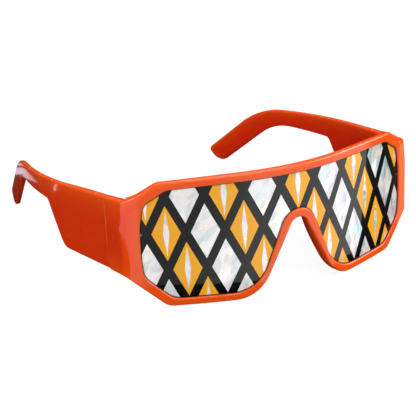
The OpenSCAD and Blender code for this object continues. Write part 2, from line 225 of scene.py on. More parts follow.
def gridFaces(rows, columns, offset=0, closedRows=False, closedColumns=False):
    # quads over a grid of rows times columns points, counted row by row
    index = np.arange(rows * columns).reshape(rows, columns) + offset
    if closedRows:
        index = np.concatenate([index, index[:1]], 0)
    if closedColumns:
        index = np.concatenate([index, index[:, :1]], 1)
    return np.stack([index[:-1, :-1], index[:-1, 1:], index[1:, 1:], index[1:, :-1]], -1).reshape(-1, 4)


# The moulded front, in mm: its outline, the lens opening and the nose pads. padLean moves the middle of the
# pads up the arch, padFullness fills out their ends, and cuts are counts of points across a round or a face.
front = {
    "topHeight": 52.2,
    "topRise": 1.9,
    "topCorner": 57.3,
    "shoulder": 68.4,
    "shoulderHeight": 45.8,
    "jointTop": 43.8,
    "jointBottom": 12.6,
    "cheek": 71.6,
    "cheekHeight": 13.6,
    "bottomCorner": 55.0,
    "archFoot": 18.3,
    "archTop": 31.6,
    "archHalf": 2.5,
    "archFlat": 0.1,  # half the flat between the two rounded corners of the arch
    "jointWithin": 0.01,  # how near the joint a point counts as on it
    "depth": 3.2,
    "edgeRound": 1.0,
    "wrapRound": 1.6,
    "wrapFade": 8.0,
    "sideBow": 0.9,
    "bowHeight": 32.0,
    "lipRound": 0.7,
    "rimTop": 3.2,
    "rimBottom": 3.3,
    "rimArch": 3.5,
    "rimNose": 1.6,
    "rimNoseTop": 3.1,
    "openingHalf": 64.5,
    "openingTopCorner": 53.4,
    "openingShoulder": 43.1,
    "shoulderIn": 1.5,
    "shoulderDrop": 10.0,
    "openingCheek": 12.9,
    "cheekIn": 0.6,
    "cheekRise": 6.8,
    "openingBottomCorner": 52.7,
    "padFoot": 0.5,
    "padDepth": 4.4,
    "padSplay": 0.8,
    "padSplayOuter": 0.6,
    "padReach": 4.0,
    "padLean": 1.6,
    "padFullness": 0.55,
    "roundCuts": 8,
    "lipCuts": 5,
    "faceCuts": 22,
}
# The lens and its film, in mm: how deep they are set, how thick they are, and the groove that holds them.
lens = {
    "set": 0.9,
    "thickness": 1.1,
    "film": 0.15,
    "groove": 1.3,
    "fit": 0.15,
    "filmMargin": 0.4,
    "endWithin": 1e-6,  # how near the lens's end a point counts as on it
    "stations": 260,
    "columns": 48,
}

# Outlines of the right half, as corners with distance along the wrap, height and how far from the corner
# its rounding begins, and the counts of steps in each corner's rounding and in each run between two.
noseSlope = (front["archFoot"] - front["archHalf"]) / front["archTop"]
frontPath = [
    [0, front["topHeight"], 0],
    [front["topCorner"], front["topHeight"], 1],
    [front["shoulder"], front["shoulderHeight"], 5],
    [joint, front["jointTop"], 0.4],
    [joint, front["jointBottom"], 0.4],
    [front["cheek"], front["cheekHeight"], 2.4],
    [front["bottomCorner"], 0, 2.4],
    [front["archFoot"], 0, 10],
    [front["archHalf"], front["archTop"], front["archHalf"] - front["archFlat"]],
    [0, front["archTop"], 0],
]
openingPath = [
    [0, front["topHeight"] - front["rimTop"], 0],
    [front["openingTopCorner"], front["topHeight"] - front["rimTop"], 2.5],
    [front["openingHalf"] - front["shoulderIn"], front["openingShoulder"], 3],
    [front["openingHalf"], front["openingShoulder"] - front["shoulderDrop"], 2],
    [front["openingHalf"], front["openingCheek"] + front["cheekRise"], 2],
    [front["openingHalf"] - front["cheekIn"], front["openingCheek"], 3],
    [front["openingBottomCorner"], front["rimBottom"], 3],
    [front["archFoot"] - front["rimBottom"] * noseSlope + front["rimNose"], front["rimBottom"], 10.8],
    [front["archHalf"] + front["rimNoseTop"], front["archTop"] + front["rimArch"],
     front["archHalf"] + front["rimNoseTop"] - front["archFlat"]],
    [0, front["archTop"] + front["rimArch"], 0],
]
frontArcs = [0, 9, 12, 5, 5, 12, 12, 24, 24, 0]
frontRuns = [50, 30, 24, 16, 20, 40, 36, 30, 3]


def lifted(points):
    # the top edge rises as a parabola towards the middle, and all above the nose arch rises with it
    rise = np.maximum(0, 1 - (points[:, 0] / front["topCorner"]) ** 2)
    above = np.maximum(0, points[:, 1] - front["archTop"]) / (front["topHeight"] - front["archTop"])
    return np.stack([points[:, 0], points[:, 1] + front["topRise"] * rise * above], -1)


def wholeRing(path):
    # the right half of an outline, closed by its mirror image
    half = lifted(roundedPath(path, frontArcs, frontRuns))
    other = half[-2:0:-1] * [-1, 1]
    return np.concatenate([half, other])


def grown(s, first, last):
    # rises in a straight line from 0 at first to 1 at last, and falls back to 0 before the joint
    return np.minimum((s - first) / (last - first), (joint - s) / front["wrapFade"]).clip(0, 1)


def sideBow(flat):
    # the side bows in with the square of the height above bowHeight, most of all at the corner of the wrap
    above = (flat[..., 1] - front["bowHeight"]) / (front["shoulderHeight"] - front["bowHeight"])
    start = front["openingHalf"] + lens["groove"]
    return front["sideBow"] * above.clip(0, 1) ** 2 * grown(np.abs(flat[..., 0]), start, cornerFrom)


def frontPiece():
    # The front: one section across the rim, carried round the outline. The outer edges are quarter rounds,
    # the pads swell by a power of a half sine up the nose arch, and the lens sits in a square groove.
    outer = wholeRing(frontPath)[:, None, :]
    inner = wholeRing(openingPath)[:, None, :]
    groove = wholeRing(shiftedPath(openingPath, lens["groove"]))[:, None, :]
    width = np.linalg.norm(inner - outer, axis=2, keepdims=True)
    across = (inner - outer) / width
    up = np.clip((outer[..., 1:] - front["padFoot"]) / (front["archTop"] - front["padFoot"]), 0, 1)
    nearArch = np.abs(outer[..., :1]) <= front["archFoot"] + front["padReach"]
    wave = np.sin(math.pi * up ** front["padLean"]).clip(0)
    swell = np.where(nearArch, wave ** front["padFullness"], 0)
    back = front["depth"] + front["padDepth"] * swell
    splay = front["padSplay"] * swell
    atJoint = np.abs(outer[..., :1]) > joint - front["jointWithin"]
    edge = np.where(atJoint, course["jointGap"], front["edgeRound"])
    # the front's outer edge is rounded more at the corner of the wrap, and less again before the joint
    growth = grown(np.abs(outer[..., :1]), front["topCorner"], front["shoulder"])
    face = np.where(atJoint, edge, edge + (front["wrapRound"] - edge) * growth)
    lip = front["lipRound"]
    grooveFront = lens["set"] - lens["fit"]
    grooveBack = lens["set"] + lens["film"] + lens["thickness"] + lens["fit"]

    quarter = np.linspace(0, math.pi / 2, front["roundCuts"])[None, :, None]
    small = np.linspace(0, math.pi / 2, front["lipCuts"])[None, :, None]
    # the face's cuts crowd towards its two edges, so that the rounds shade cleanly
    share = (1 - np.cos(np.linspace(0, math.pi, front["faceCuts"])))[None, 1:-1, None] / 2
    faceCuts = face + (width - lip - face) * share
    backCuts = (edge + (width - lip - edge) * share)[:, ::-1]
    ones = np.ones_like(outer[..., :1])

    flat = [
        outer + across * face * (1 - np.cos(quarter)),
        outer + across * faceCuts,
        inner - across * lip * (1 - np.sin(small)),
        inner, groove, groove, inner,
        inner + across * (splay - lip * (1 - np.cos(small))),
        outer + across * (splay * backCuts / width + backCuts),
        outer + across * (splay * front["padSplayOuter"] + edge * (1 - np.cos(quarter[:, ::-1]))),
    ]
    deep = [
        face * (1 - np.sin(quarter)),
        0 * faceCuts,
        lip * (1 - np.cos(small)) * ones,
        grooveFront * ones, grooveFront * ones, grooveBack * ones, grooveBack * ones,
        back - lip * (1 - np.sin(small)),
        back + 0 * backCuts,
        back - edge * (1 - np.sin(quarter[:, ::-1])),
    ]
    flat = np.concatenate([np.broadcast_to(f, (len(outer), max(f.shape[1], 1), 2)) for f in flat], 1)
    deep = np.concatenate(deep, 1)[..., 0]
    points = wrapped(flat[..., 0], flat[..., 1], deep + sideBow(flat))
    rows, columns = points.shape[:2]
    free = outer[~atJoint[..., 0]]
    # painted shade grows over the lip with a square, and fills the groove's four columns and the first
    # behind them
    lipFrom = quarter.size + front["faceCuts"] - 2
    wallFrom = lipFrom + small.size
    recess = np.zeros(columns)
    recess[lipFrom:wallFrom] = edgeLight["lipShade"] * np.linspace(0, 1, small.size) ** 2
    recess[wallFrom:wallFrom + 5] = 1
    inward = deep / back[..., 0]
    # the painted edge light fades towards the back, as painted shade
    light = nearEdge(flat, free, inner[:, 0]) * (1 - edgeLight["depthLoss"] * inward)
    marks = {"nearEdge": light, "inward": inward, "recess": np.broadcast_to(recess, flat.shape[:2])}
    faces = gridFaces(rows, columns, closedRows=True, closedColumns=True)
    return meshPiece("frontShell", points.reshape(-1, 3), faces, marks)


def sheetPiece(name, outset, frontDepth, backDepth):
    # A sheet in the opening: stations along s, and at each one columns from its lower to its upper edge.
    # It carries s and z, so that a print follows the curve of the lens, and how near it is to its own edge.
    path = lifted(roundedPath(shiftedPath(openingPath, outset), frontArcs, frontRuns))
    half = front["openingHalf"] + outset
    top = path[:np.argmax(path[:, 0]) + 1]
    bottom = path[np.argmax(path[:, 0] > half - lens["endWithin"]):][::-1]
    angle = np.linspace(-math.pi / 2, math.pi / 2, lens["stations"])
    s = half * np.sin(angle)
    upper = np.interp(np.abs(s), top[:, 0], top[:, 1])
    lower = np.interp(np.abs(s), bottom[:, 0], bottom[:, 1])
    share = np.linspace(0, 1, lens["columns"])[None, :]
    z = lower[:, None] * (1 - share) + upper[:, None] * share
    s = np.broadcast_to(s[:, None], z.shape)
    flat = np.concatenate([np.stack([s, z], -1), np.stack([s, z], -1)[:, ::-1]], 1)
    deep = np.concatenate([np.full(z.shape, frontDepth), np.full(z.shape, backDepth)], 1)
    points = wrapped(flat[..., 0], flat[..., 1], deep)
    rows, columns = points.shape[:2]
    index = np.arange(rows * columns).reshape(rows, columns)
    ends = np.concatenate([
        np.stack([index[k, :lens["columns"] - 1], index[k, 1:lens["columns"]],
                  index[k, ::-1][1:lens["columns"]], index[k, ::-1][:lens["columns"] - 1]], -1)
        for k in (0, -1)])
    faces = np.concatenate([gridFaces(rows, columns, closedColumns=True), ends])
    marks = {"along": flat[..., 0], "height": flat[..., 1], "nearEdge": nearEdge(flat, path, path * [-1, 1])}
    piece = meshPiece(name, points.reshape(-1, 3), faces, marks)
    addFlatMap(piece.data)
    return piece


def addFlatMap(mesh):
    # a UV map in centimetres: distance along the wrap from the middle, and height
    flat = np.zeros((2, len(mesh.vertices)))
    mesh.attributes["along"].data.foreach_get("value", flat[0])
    mesh.attributes["height"].data.foreach_get("value", flat[1])
    corners = np.zeros(len(mesh.loops), int)
    mesh.loops.foreach_get("vertex_index", corners)
    mesh.uv_layers.new(name="flatMap").data.foreach_set("uv", (flat[:, corners].T / 10).ravel())


# A temple, in mm. Its s is measured from the hinge joint, and z is height above the front's bottom edge.
temple = {
    "thickness": 2.5,
    "edgeRound": 1.0,
    "panelLength": 40.6,
    "panelBottom": 8.2,
    "stepLength": 14.7,
    "armBottom": 25.6,
    "earBend": 111.0,
    "earTop": 27.1,
    "earBendUnder": 100.2,
    "earUnder": 21.4,
    "tipBack": 153.4,
    "tipBackHeight": -4.5,
    "tipLow": 144.0,
    "tipLowHeight": -10.5,
    "thinning": 20.0,
    "roundCuts": 8,
    "faceColumns": 24,
}
templeArcs = [0, 10, 10, 30, 12, 30, 30, 12, 10, 0]
templeRuns = [20, 8, 26, 26, 1, 16, 30, 12, 26]


def templePath():
    # corners as the front has them: the upper edge falls in one straight line from the joint to the ear bend
    slope = (front["jointTop"] - temple["earTop"]) / temple["earBend"]
    step = temple["panelLength"] + temple["stepLength"]
    return [
        [root, front["jointTop"], 0],
        [joint + temple["panelLength"], front["jointTop"] - slope * temple["panelLength"], 4],
        [joint + step, front["jointTop"] - slope * step, 3],
        [joint + temple["earBend"], temple["earTop"], 17.5],
        [joint + temple["tipBack"], temple["tipBackHeight"], 3],
        [joint + temple["tipLow"], temple["tipLowHeight"], 6.5],
        [joint + temple["earBendUnder"], temple["earUnder"], 12.8],
        [joint + step, temple["armBottom"], 2],
        [joint + temple["panelLength"], temple["panelBottom"], 3.7],
        [root, front["jointBottom"], 0],
    ]


def templeRing(inset, side, depth):
    # The temple's edge, moved in by inset, at a depth from its outer face (side 0) or inner face (side 1).
    # Its thickness falls evenly over the thinning that ends at the bend. At the joint the end draws in by no
    # more than the joint's gap.
    edge = roundedPath(shiftedPath(templePath(), -inset), templeArcs, templeRuns)
    thickness = front["depth"] + (temple["thickness"] - front["depth"]) * np.clip(
        (edge[:, 0] - bendFrom + temple["thinning"]) / temple["thinning"], 0, 1)
    s = np.maximum(edge[:, 0], root + course["jointGap"] * inset / temple["edgeRound"])
    return np.stack([s, edge[:, 1], side * thickness + depth], -1)


def templePiece(name, side):
    # A temple: closed rings stepped round the two rounded edges, and two faces of columns between its upper
    # and its lower edge.
    angles = np.radians(np.linspace(90, 0, temple["roundCuts"]))
    radius = temple["edgeRound"]
    # rings run from the inner face's edge over the side wall to the outer face's edge
    rings = [templeRing(radius * (1 - math.cos(a)), 1, -radius * (1 - math.sin(a))) for a in angles]
    rings += [templeRing(radius * (1 - math.sin(a)), 0, radius * (1 - math.cos(a))) for a in angles]
    grid = np.stack(rings)
    rows, columns = grid.shape[:2]
    faces = [gridFaces(rows, columns, closedColumns=True)]
    points = [grid.reshape(-1, 3)]
    count = rows * columns
    share = (1 - np.cos(np.linspace(0, math.pi, temple["faceColumns"])))[None, :, None] / 2
    half = columns // 2
    for ring in (rings[0], rings[-1]):
        upper = ring[:half][:, None, :]
        lower = ring[::-1][:half][:, None, :]
        face = upper * (1 - share) + lower * share
        points.append(face.reshape(-1, 3))
        faces.append(gridFaces(half, temple["faceColumns"], count))
        count += half * temple["faceColumns"]
    points = np.concatenate(points)
    placed = wrapped(points[:, 0], points[:, 1], points[:, 2])
    placed[:, 0] *= side
    # painted light falls in along the upper edge, which is the first half of the outline
    upperEdge = roundedPath(templePath(), templeArcs, templeRuns)[:half]
    marks = {"nearEdge": nearEdge(points[:, :2], upperEdge), "inward": points[:, 2] / temple["thickness"]}
    return meshPiece(name, placed, np.concatenate(faces), marks)


frontShell = frontPiece()
lensShell = sheetPiece("lensShell", lens["groove"] - lens["fit"],
                       lens["set"] + lens["film"], lens["set"] + lens["film"] + lens["thickness"])
filmSheet = sheetPiece("filmSheet", lens["groove"] - lens["fit"] - lens["filmMargin"],
                       lens["set"], lens["set"] + lens["film"])
templeRight = templePiece("templeRightShell", 1)
templeLeft = templePiece("templeLeftShell", -1)
print("Made the front, the lens, the film and the temples")


def newMaterial(name):
    # gives the material, its node tree and its shader
    material = bpy.data.materials.new(name)
    material.use_nodes = True
    tree = material.node_tree
    shader = tree.nodes["Principled BSDF"]
    return material, tree, shader


def feed(tree, node, inputs):
    # each input takes a value, or a link where it is given another node's output
    for key, value in inputs.items():
        if isinstance(value, bpy.types.NodeSocket):
            tree.links.new(value, node.inputs[key])
        else:
            node.inputs[key].default_value = value


def addNode(tree, kind, inputs=None, **settings):
    node = tree.nodes.new(kind)
    for key, value in settings.items():
        setattr(node, key, value)
    feed(tree, node, inputs or {})
    return node


def calculate(tree, operation, a, b=None):
    inputs = {0: a} if b is None else {0: a, 1: b}
    return addNode(tree, "ShaderNodeMath", inputs, operation=operation).outputs[0]


def times(tree, a, b):
    return calculate(tree, "MULTIPLY", a, b)


def plus(tree, a, b):
    return calculate(tree, "ADD", a, b)


def minus(tree, a, b):
    return calculate(tree, "SUBTRACT", a, b)


def vectors(tree, operation, a, b=None):
    # b is a number for SCALE and a vector for the others
    second = {} if b is None else {"Scale" if operation == "SCALE" else 1: b}
    return addNode(tree, "ShaderNodeVectorMath", {0: a, **second}, operation=operation).outputs[0]


def spread(tree, value, low, high, fromLow=0.0, fromHigh=1.0, between="LINEAR"):
    # a value at low gives fromLow and at high fromHigh, evenly between or by a smooth step, and held outside
    inputs = {"Value": value, "From Min": low, "From Max": high, "To Min": fromLow, "To Max": fromHigh}
    return addNode(tree, "ShaderNodeMapRange", inputs, interpolation_type=between).outputs[0]


def noise(tree, place, scale, detail=2.0):
    inputs = {"Vector": place, "Scale": scale, "Detail": detail}
    return addNode(tree, "ShaderNodeTexNoise", inputs).outputs["Fac"]


def mixColour(tree, factor, a, b):
    # colour a where the factor is 0 and colour b where it is 1: its sockets are 0, 6 and 7
    return addNode(tree, "ShaderNodeMix", {0: factor, 6: a, 7: b}, data_type="RGBA").outputs[2]


def objectPlace(tree):
    return addNode(tree, "ShaderNodeTexCoord").outputs["Object"]


def markOf(tree, name):
    # the number that the mesh carries at each of its points
    return addNode(tree, "ShaderNodeAttribute", attribute_name=name).outputs["Fac"]


# The detail that all the materials share. A scale is about how many features a metre has, and a pair is
# where a mask begins and where it is full. The relief is in mm.
sharedDetail = {
    "grainScale": 900.0,
    "scratchScale": 420.0,
    "scratchStretch": (1.0, 0.1, 0.45),
    "scratchHalfWidth": 0.005,
    "breakScale": 110.0,
    "breaks": (0.50, 0.60),
    "speckScale": 2600.0,
    "specks": (0.66, 0.72),
    "settledScale": 70.0,
    "settled": (0.42, 0.65),
    "wearScale": 240.0,
    "wear": (0.48, 0.66),
    "grainRoughness": 0.06,
    "marredRoughness": 0.22,
    "reliefDepth": 0.01,
}


def surfaceDetail():
    # A group of masks: fine grain, hairline scratches, dust and worn edges. Scratches are the thin band
    # where a stretched noise passes its middle, broken up by a coarser noise.
    tree = bpy.data.node_groups.new("surfaceDetail", "ShaderNodeTree")
    tree.interface.new_socket("Place", in_out="INPUT", socket_type="NodeSocketVector")
    tree.interface.new_socket("Fineness", in_out="INPUT", socket_type="NodeSocketFloat").default_value = 1.0
    tree.interface.new_socket("Edge", in_out="INPUT", socket_type="NodeSocketFloat").default_value = 0.0
    for mask in ("Grain", "Scratches", "Dust", "Wear", "Height"):
        tree.interface.new_socket(mask, in_out="OUTPUT", socket_type="NodeSocketFloat")
    given = tree.nodes.new("NodeGroupInput")
    result = tree.nodes.new("NodeGroupOutput")
    place = vectors(tree, "SCALE", given.outputs["Place"], given.outputs["Fineness"])
    grain = noise(tree, place, sharedDetail["grainScale"], detail=3.0)
    stretched = vectors(tree, "MULTIPLY", place, sharedDetail["scratchStretch"])
    off = calculate(tree, "ABSOLUTE", minus(tree, noise(tree, stretched, sharedDetail["scratchScale"]), 0.5))
    hairline = spread(tree, off, 0.0, sharedDetail["scratchHalfWidth"], 1.0, 0.0)
    broken = spread(tree, noise(tree, place, sharedDetail["breakScale"]), *sharedDetail["breaks"])
    scratches = times(tree, hairline, broken)
    specks = spread(tree, noise(tree, place, sharedDetail["speckScale"]), *sharedDetail["specks"])
    settled = spread(tree, noise(tree, place, sharedDetail["settledScale"]), *sharedDetail["settled"])
    dust = times(tree, specks, settled)
    rubbed = spread(tree, noise(tree, place, sharedDetail["wearScale"], detail=4.0), *sharedDetail["wear"])
    feed(tree, result, {
        "Grain": grain,
        "Scratches": scratches,
        "Dust": dust,
        "Wear": times(tree, given.outputs["Edge"], rubbed),
        "Height": minus(tree, plus(tree, grain, dust), scratches),
    })
    return tree


detailGroup = surfaceDetail()


def placeDetail(tree, place, fineness=1.0, edge=0.0):
    inputs = {"Place": place, "Fineness": fineness, "Edge": edge}
    return addNode(tree, "ShaderNodeGroup", inputs, node_tree=detailGroup).outputs


def roughened(tree, base, detail):
    # roughness is its base, a little of the grain, and more where it is scratched, dusty or worn
    grainy = sharedDetail["grainRoughness"]
    level = plus(tree, times(tree, detail["Grain"], grainy), base - grainy / 2)
    marred = calculate(tree, "MAXIMUM", detail["Scratches"], detail["Dust"])
    marred = calculate(tree, "MAXIMUM", marred, detail["Wear"])
    return plus(tree, level, times(tree, marred, sharedDetail["marredRoughness"]))


def bumped(tree, shader, detail, strength, normal=None):
    # the fine relief of the shared detail, over the surface's own normal or a tilted one
    depth = sharedDetail["reliefDepth"] * mm
    inputs = {"Height": detail["Height"], "Strength": strength, "Distance": depth}
    if normal is not None:
        inputs["Normal"] = normal
    feed(tree, shader, {"Normal": addNode(tree, "ShaderNodeBump", inputs).outputs[0]})


# The plastic, in linear colours: redder over the broad side panels, lighter orange near an edge by painted
# light where light comes through, deepest on the wearer's side by painted shade, and dark in the wall round
# the lens by painted shade. wearByEdge is how near an edge wear begins and is full, and subsurfaceReach is
# in metres.
plastic = {
    "edgeLitColour": (0.86, 0.112, 0.006, 1),
    "panelColour": (0.78, 0.042, 0.002, 1),
    "innerShadeColour": (0.64, 0.017, 0.001, 1),
    "recessShadeColour": (0.27, 0.002, 0.001, 1),
    "wornColour": (0.92, 0.25, 0.06, 1),
    "dustColour": (0.80, 0.76, 0.72, 1),
    "wornShare": 0.12,
    "dustShare": 0.10,
    "wearByEdge": (0.86, 0.97),
    "flowScale": 60.0,
    "flowDepth": 0.16,
    "keptFromDepth": 0.75,
    "roughness": 0.10,
    "recessDull": 0.5,
    "refraction": 1.45,
    "relief": 0.25,
    "subsurface": 0.5,
    "subsurfaceReach": 0.003,
    "subsurfaceColours": (1.0, 0.2, 0.05),
    "coat": 0.25,
    "coatRoughness": 0.03,
}


def orangePlastic():
    material, tree, shader = newMaterial("glossyOrangePlastic")
    place = objectPlace(tree)
    edge = markOf(tree, "nearEdge")
    detail = placeDetail(tree, place, edge=spread(tree, edge, *plastic["wearByEdge"]))
    # painted light: the orange is lighter near the edges, where light comes through, with faint streaks
    # where the plastic flowed
    flow = times(tree, noise(tree, place, plastic["flowScale"], detail=3.0), plastic["flowDepth"])
    face = mixColour(tree, minus(tree, edge, flow), plastic["panelColour"], plastic["edgeLitColour"])
    # painted light near an edge keeps most of the inner face's painted shade off it
    kept = minus(tree, 1.0, times(tree, edge, plastic["keptFromDepth"]))
    inner = times(tree, markOf(tree, "inward"), kept)
    colour = mixColour(tree, inner, face, plastic["innerShadeColour"])
    # painted shade: the wall between the front's lip and the lens is coloured dark, as deep in shade
    recess = markOf(tree, "recess")
    colour = mixColour(tree, recess, colour, plastic["recessShadeColour"])
    worn = times(tree, detail["Wear"], plastic["wornShare"])
    dusty = times(tree, detail["Dust"], plastic["dustShare"])
    colour = mixColour(tree, worn, colour, plastic["wornColour"])
    colour = mixColour(tree, dusty, colour, plastic["dustColour"])
    # that wall has no polish: it is duller, and the coat leaves it out
    rough = roughened(tree, plastic["roughness"], detail)
    feed(tree, shader, {
        "Base Color": colour,
        "Roughness": plus(tree, rough, times(tree, recess, plastic["recessDull"])),
        "Coat Weight": times(tree, minus(tree, 1.0, recess), plastic["coat"]),
        "Coat Roughness": plastic["coatRoughness"],
        "IOR": plastic["refraction"],
        "Subsurface Weight": plastic["subsurface"],
        "Subsurface Radius": plastic["subsurfaceColours"],
        "Subsurface Scale": plastic["subsurfaceReach"],
    })
    bumped(tree, shader, detail, plastic["relief"])
    return material


plasticMaterial = orangePlastic()

# The print: a lattice of tall diamonds, in cm along the lens, with its bands and slivers in shares of a
# cell. Four numbers in a row say how one value follows another: from the first to the second of them, it
# goes from the third to the fourth.
printed = {
    "diamondWidth": 1.55,
    "diamondHeight": 3.1,
    "bandWidth": 0.125,
    "sliverWidth": 0.16,
    "sliverHeight": 0.62,
    "black": (0.003, 0.0028, 0.003, 1),
    "amber": (0.82, 0.375, 0.016, 1),
    "silver": (0.99, 0.97, 0.95, 1),
    # the black of the painted shade beside the rim
    "rimShadeBlack": (0.004, 0.003, 0.003, 1),
    # the grey of the foil's painted dark reflections
    "paintedReflectionGrey": (0.30, 0.31, 0.36, 1),
    "dustColour": (0.75, 0.74, 0.73, 1),
    "pastels": [(0.0, (0.55, 0.76, 0.82, 1)), (0.16, (0.96, 0.96, 0.97, 1)), (0.36, (0.74, 0.74, 0.90, 1)),
                (0.50, (1.00, 0.95, 0.82, 1)), (0.66, (0.95, 0.72, 0.78, 1)), (0.78, (0.58, 0.62, 0.70, 1)),
                (0.88, (0.98, 0.98, 0.96, 1))],
    "shardScale": 1.5,
    "splinterScale": 2.7,
    "shardLength": 2.4,
    "shardTilt": 0.17,
    "splinterShade": (0.68, 1.0, 0.0, 0.9),
    "pastelBySlant": (0.15, 0.55, 0.4, 0.95),
    "metalBySlant": (0.2, 0.6, 0.27, 0.46),
    # where the painted shade beside the rim falls, by nearEdge
    "rimShadeByEdge": (0.79, 0.83, 0.0, 0.9),
    "turnsByCell": (1.7, 2.9),
    "dustShare": 0.05,
    "roughness": 0.22,
    "specular": 0.1,
    "coatRoughness": 0.02,
    "relief": 0.2,
}


def harlequin(tree, flat):
    # Masks of the lattice: each diamond is a square cell of u and v, which run along the two slants, and
    # every second row of cells is amber round a silver sliver. Gives amber, silver and the cell's own turn.
    place = addNode(tree, "ShaderNodeSeparateXYZ", {0: flat})
    along = calculate(tree, "DIVIDE", place.outputs[0], printed["diamondWidth"])
    high = calculate(tree, "DIVIDE", place.outputs[1], printed["diamondHeight"])
    u = plus(tree, along, high)
    v = minus(tree, along, high)
    cellU = calculate(tree, "FLOOR", u)
    cellV = calculate(tree, "FLOOR", v)
    inU = minus(tree, minus(tree, u, cellU), 0.5)
    inV = minus(tree, minus(tree, v, cellV), 0.5)
    reach = calculate(tree, "MAXIMUM", calculate(tree, "ABSOLUTE", inU), calculate(tree, "ABSOLUTE", inV))
    inside = calculate(tree, "LESS_THAN", reach, 0.5 - printed["bandWidth"])
    sideways = calculate(tree, "ABSOLUTE", plus(tree, inU, inV))
    upwards = calculate(tree, "ABSOLUTE", minus(tree, inU, inV))
    slimness = plus(tree, calculate(tree, "DIVIDE", sideways, printed["sliverWidth"]),
                    calculate(tree, "DIVIDE", upwards, printed["sliverHeight"]))
    sliver = calculate(tree, "LESS_THAN", slimness, 1.0)
    second = calculate(tree, "FLOORED_MODULO", cellU, 2.0)
    amber = times(tree, second, minus(tree, 1.0, sliver))
    turnU, turnV = printed["turnsByCell"]
    turn = plus(tree, times(tree, cellU, turnU), times(tree, cellV, turnV))
    return times(tree, inside, amber), times(tree, inside, minus(tree, 1.0, amber)), turn


def shatteredFoil(tree, flat, turn):
    # Straight-sided shards: cells of a plane that is stretched along another slant in every diamond. Each
    # has a pastel of its own, splinters of light, dark grey splinters of painted reflection, and a tilt.
    # Gives a colour and the tilt.
    turned = addNode(tree, "ShaderNodeVectorRotate", {"Vector": flat, "Angle": turn},
                     rotation_type="Z_AXIS").outputs[0]
    stretched = vectors(tree, "MULTIPLY", turned, (printed["shardLength"], 1.0, 1.0))
    shards, splinters = [
        addNode(tree, "ShaderNodeTexVoronoi", {"Vector": stretched, "Scale": scale},
                voronoi_dimensions="2D", feature="F1").outputs["Color"]
        for scale in (printed["shardScale"], printed["splinterScale"])]
    pick = addNode(tree, "ShaderNodeSeparateColor", {0: shards}).outputs[0]
    light = addNode(tree, "ShaderNodeSeparateColor", {0: splinters}).outputs[1]
    ramp = addNode(tree, "ShaderNodeValToRGB", {"Fac": pick})
    ramp.color_ramp.interpolation = "CONSTANT"
    while len(ramp.color_ramp.elements) < len(printed["pastels"]):
        ramp.color_ramp.elements.new(1.0)
    for element, (position, colour) in zip(ramp.color_ramp.elements, printed["pastels"]):
        element.position = position
        element.color = colour
    shade = spread(tree, light, *printed["splinterShade"])
    glint = mixColour(tree, shade, ramp.outputs["Color"], printed["paintedReflectionGrey"])
    return glint, vectors(tree, "SUBTRACT", shards, (0.5, 0.5, 0.5))


def printedFilm():
    material, tree, shader = newMaterial("printedHolographicFilm")
    flat = addNode(tree, "ShaderNodeUVMap", uv_map="flatMap").outputs[0]
    detail = placeDetail(tree, objectPlace(tree))
    amber, silver, turn = harlequin(tree, flat)
    glint, tilt = shatteredFoil(tree, flat, turn)
    # seen square on, the foil is near white, and its pastels come out where it is seen aslant
    slant = addNode(tree, "ShaderNodeLayerWeight", {"Blend": 0.5}).outputs["Facing"]
    foil = mixColour(tree, spread(tree, slant, *printed["pastelBySlant"]), printed["silver"], glint)
    colour = mixColour(tree, amber, printed["black"], printed["amber"])
    colour = mixColour(tree, silver, colour, foil)
    dusty = times(tree, detail["Dust"], printed["dustShare"])
    colour = mixColour(tree, dusty, colour, printed["dustColour"])
    # painted shade: a black band without a coat runs round the print beside the rim, where the rim shades it
    rimShade = spread(tree, markOf(tree, "nearEdge"), *printed["rimShadeByEdge"])
    feed(tree, shader, {
        "Base Color": mixColour(tree, rimShade, colour, printed["rimShadeBlack"]),
        "Metallic": times(tree, silver, spread(tree, slant, *printed["metalBySlant"])),
        "Roughness": roughened(tree, printed["roughness"], detail),
        "Specular IOR Level": printed["specular"],
        "Coat Weight": minus(tree, 1.0, rimShade),
        "Coat Roughness": printed["coatRoughness"],
    })
    # each shard of the foil leans its own way
    lean = vectors(tree, "SCALE", tilt, times(tree, silver, printed["shardTilt"]))
    normal = addNode(tree, "ShaderNodeNewGeometry").outputs["Normal"]
    tilted = vectors(tree, "NORMALIZE", vectors(tree, "ADD", normal, lean))
    bumped(tree, shader, detail, printed["relief"], tilted)
    return material


filmMaterial = printedFilm()


# The lens plastic, nearly black all through.
smoked = {
    "deepColour": (0.010, 0.010, 0.012, 1),
    "hazeColour": (0.022, 0.021, 0.024, 1),
    "dustColour": (0.6, 0.6, 0.6, 1),
    "dustShare": 0.15,
    "hazeScale": 40.0,
    "fineness": 1.2,
    "roughness": 0.07,
    "relief": 0.15,
}


def smokedLens():
    material, tree, shader = newMaterial("smokedLensPlastic")
    place = objectPlace(tree)
    detail = placeDetail(tree, place, smoked["fineness"])
    haze = noise(tree, place, smoked["hazeScale"], detail=4.0)
    dusty = times(tree, detail["Dust"], smoked["dustShare"])
    colour = mixColour(tree, haze, smoked["deepColour"], smoked["hazeColour"])
    feed(tree, shader, {
        "Base Color": mixColour(tree, dusty, colour, smoked["dustColour"]),
        "Roughness": roughened(tree, smoked["roughness"], detail),
    })
    bumped(tree, shader, detail, smoked["relief"])
    return material


lensMaterial = smokedLens()


# The hinge leaves and screws, of nickelled steel.
steel = {
    "rubbedColour": (0.50, 0.49, 0.48, 1),
    "brightColour": (0.68, 0.68, 0.69, 1),
    "scratchColour": (0.30, 0.29, 0.28, 1),
    "scratchShare": 0.4,
    "rubbedScale": 1500.0,
    "fineness": 2.5,
    "roughness": 0.26,
    "relief": 0.4,
}


